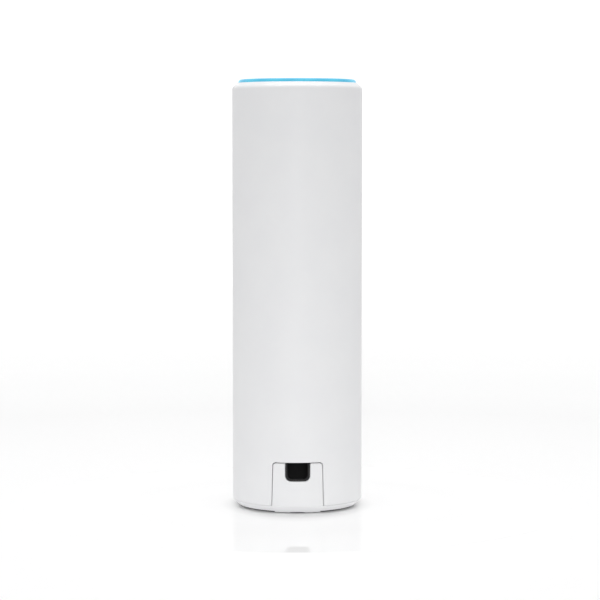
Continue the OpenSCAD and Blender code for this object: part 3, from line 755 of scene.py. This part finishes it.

# The floor's own light, and its colour darkened round the foot by a painted shadow, which change
# between two distances from the axis in metres.
FLOOR_HALF = 6.0
GLOW_NEAR = 0.095                     # light just outside the foot's shadow
GLOW_AROUND = 0.056                   # light a little further out
GLOW_FAR = 0.5                        # light far off, to keep the horizon white
SHADOW_EDGE = (0.030, 0.041)          # where the light near the foot begins
SHADOW_STRETCH = 1.6                  # how many times X counts in the distance for it
NEAR_TO_AROUND = (0.041, 0.062)
FAR_RISE = (0.3, 1.5)
BOUNCE = 0.26                         # light near the foot that the camera doesn't see
BOUNCE_AROUND = 0.055                 # the same a little further out
BOUNCE_FADE = (0.024, 0.050)
# Painted shadow on the floor: its colour is darker near the foot and fades to the plain floor
# colour between two distances, counting X stretch times.
FLOOR_TONE_WITH_PAINTED_SHADOW = (0.73, 0.85)               # floor colour darkened by painted shadow under the foot, and the plain floor colour out in the open
PAINTED_SHADOW_FADE = (0.027, 0.034)
PAINTED_SHADOW_STRETCH = 1.2
MIRROR = 0.2                          # share of polish round the object
MIRROR_EDGE = (0.1000, 0.1025)
MIRROR_ROUGHNESS = 0.012


def distance(material, stretch=1.0):
    """Distance from the axis in metres, counting X stretch times."""
    scaled = node(material, "ShaderNodeVectorMath")
    scaled.operation = "MULTIPLY"
    scaled.inputs[1].default_value = (stretch, 1.0, 1.0)
    length = node(material, "ShaderNodeVectorMath")
    length.operation = "LENGTH"
    material.node_tree.links.new(place(material), scaled.inputs[0])
    material.node_tree.links.new(scaled.outputs["Vector"], length.inputs[0])
    return length.outputs["Value"]


def floor():
    """A large pale floor, matt far off and faintly polished round the object, its colour darkened
    round the foot by a painted shadow.
    """
    mesh = bpy.data.meshes.new("floor")
    corners = [(x * FLOOR_HALF, y * FLOOR_HALF, 0) for x, y in ((-1, -1), (1, -1), (1, 1), (-1, 1))]
    mesh.from_pydata(corners, [], [(0, 1, 2, 3)])
    material = bpy.data.materials.new("pale_floor_with_painted_shadow")
    material.use_nodes = True
    tree = material.node_tree
    tree.nodes.clear()
    link = tree.links.new
    away = distance(material)
    seen = node(material, "ShaderNodeLightPath").outputs["Is Camera Ray"]
    unseen = math_node(material, "SUBTRACT", 1.0, seen)
    near_rise = spread(material, distance(material, SHADOW_STRETCH), 0.0, 1.0, *SHADOW_EDGE)
    near_fade = spread(material, away, GLOW_NEAR, GLOW_AROUND, *NEAR_TO_AROUND)
    near_glow = math_node(material, "MULTIPLY", near_rise, near_fade)
    far_rise = spread(material, away, 0.0, GLOW_FAR, *FAR_RISE)
    far_glow = math_node(material, "MULTIPLY", far_rise, seen)
    bounce_fade = spread(material, away, BOUNCE, BOUNCE_AROUND, *BOUNCE_FADE)
    bounce = math_node(material, "MULTIPLY", bounce_fade, unseen)
    total_glow = math_node(material, "ADD", math_node(material, "ADD", near_glow, far_glow), bounce)
    # painted shadow: the floor's matt colour darkens towards the foot
    shade = spread(material, distance(material, PAINTED_SHADOW_STRETCH), *FLOOR_TONE_WITH_PAINTED_SHADOW, *PAINTED_SHADOW_FADE)
    matt = node(material, "ShaderNodeBsdfDiffuse", color=shade)
    glow = node(material, "ShaderNodeEmission", color=(1, 1, 1, 1), strength=total_glow)
    base = tree.nodes.new("ShaderNodeAddShader")
    link(matt.outputs[0], base.inputs[0])
    link(glow.outputs[0], base.inputs[1])
    polish = node(material, "ShaderNodeBsdfGlossy", color=(1, 1, 1, 1), roughness=MIRROR_ROUGHNESS)
    mix = tree.nodes.new("ShaderNodeMixShader")
    link(spread(material, away, MIRROR, 0.0, *MIRROR_EDGE), mix.inputs[0])
    link(base.outputs[0], mix.inputs[1])
    link(polish.outputs[0], mix.inputs[2])
    out = tree.nodes.new("ShaderNodeOutputMaterial")
    link(mix.outputs[0], out.inputs[0])
    mesh.materials.append(material)
    obj = bpy.data.objects.new("floor", mesh)
    bpy.context.scene.collection.objects.link(obj)


def area_light(name, place_at, aim, size, watts, spread_angle=180.0):
    """A square soft light at a place, aimed at a point."""
    light = bpy.data.lights.new(name, "AREA")
    light.size = size
    light.energy = watts
    light.spread = math.radians(spread_angle)
    obj = bpy.data.objects.new(name, light)
    obj.location = place_at
    obj.rotation_euler = (Vector(aim) - Vector(place_at)).to_track_quat("-Z", "Y").to_euler()
    bpy.context.scene.collection.objects.link(obj)


def backdrop(tree, strength):
    """White light from every side."""
    made = tree.nodes.new("ShaderNodeBackground")
    made.inputs["Color"].default_value = (1, 1, 1, 1)
    made.inputs["Strength"].default_value = strength
    return made


def studio():
    """White surroundings, a soft light overhead and a narrow one in front, aimed at the base."""
    world = bpy.data.worlds.new("studio")
    world.use_nodes = True
    tree = world.node_tree
    tree.nodes.clear()
    seen = backdrop(tree, SURROUND)
    fill = backdrop(tree, FILL)
    path = tree.nodes.new("ShaderNodeLightPath")
    either = tree.nodes.new("ShaderNodeMath")
    either.operation = "MAXIMUM"
    mix = tree.nodes.new("ShaderNodeMixShader")
    out = tree.nodes.new("ShaderNodeOutputWorld")
    tree.links.new(path.outputs["Is Camera Ray"], either.inputs[0])
    tree.links.new(path.outputs["Is Glossy Ray"], either.inputs[1])
    tree.links.new(either.outputs[0], mix.inputs[0])
    tree.links.new(fill.outputs[0], mix.inputs[1])
    tree.links.new(seen.outputs[0], mix.inputs[2])
    tree.links.new(mix.outputs[0], out.inputs[0])
    bpy.context.scene.world = world
    area_light("overhead", (0, 0, 1.2), (0, 0, 0), 1.0, OVERHEAD_WATTS)
    area_light("front", (0, -1.2, 0.2), (0, 0, -0.03), 0.3, FRONT_WATTS, 24.0)


CAMERA_DISTANCE = 0.8265
CAMERA_HEIGHT = 0.13257
CAMERA_SIDE = -0.00547
CAMERA_DIP = 4.651                    # degrees below level
CAMERA_TURN = -0.451                  # degrees, to the left
CAMERA_LENS = 133.62
CAMERA_SHIFT = 0.05


def camera():
    """The photograph's viewpoint."""
    data = bpy.data.cameras.new("camera")
    data.lens = CAMERA_LENS
    data.sensor_width = 36.0
    data.shift_y = CAMERA_SHIFT
    data.clip_end = 50.0
    obj = bpy.data.objects.new("camera", data)
    obj.location = (CAMERA_SIDE, -CAMERA_DISTANCE, CAMERA_HEIGHT)
    obj.rotation_euler = (math.radians(90 - CAMERA_DIP), 0, math.radians(CAMERA_TURN))
    bpy.context.scene.collection.objects.link(obj)
    bpy.context.scene.camera = obj


# ---- putting it together ----

make_materials()
for part in frame["record"]["subparts"]:
    mesh = frame["nodes"][part["node"]].data
    mesh.materials.clear()
    mesh.materials.append(materials[part["material_slot"]])

shell()
base_cover()
grommet()
foot()
lit_ring()
top_cap()
floor()
studio()
camera()
bpy.context.scene.view_settings.view_transform = "Standard"
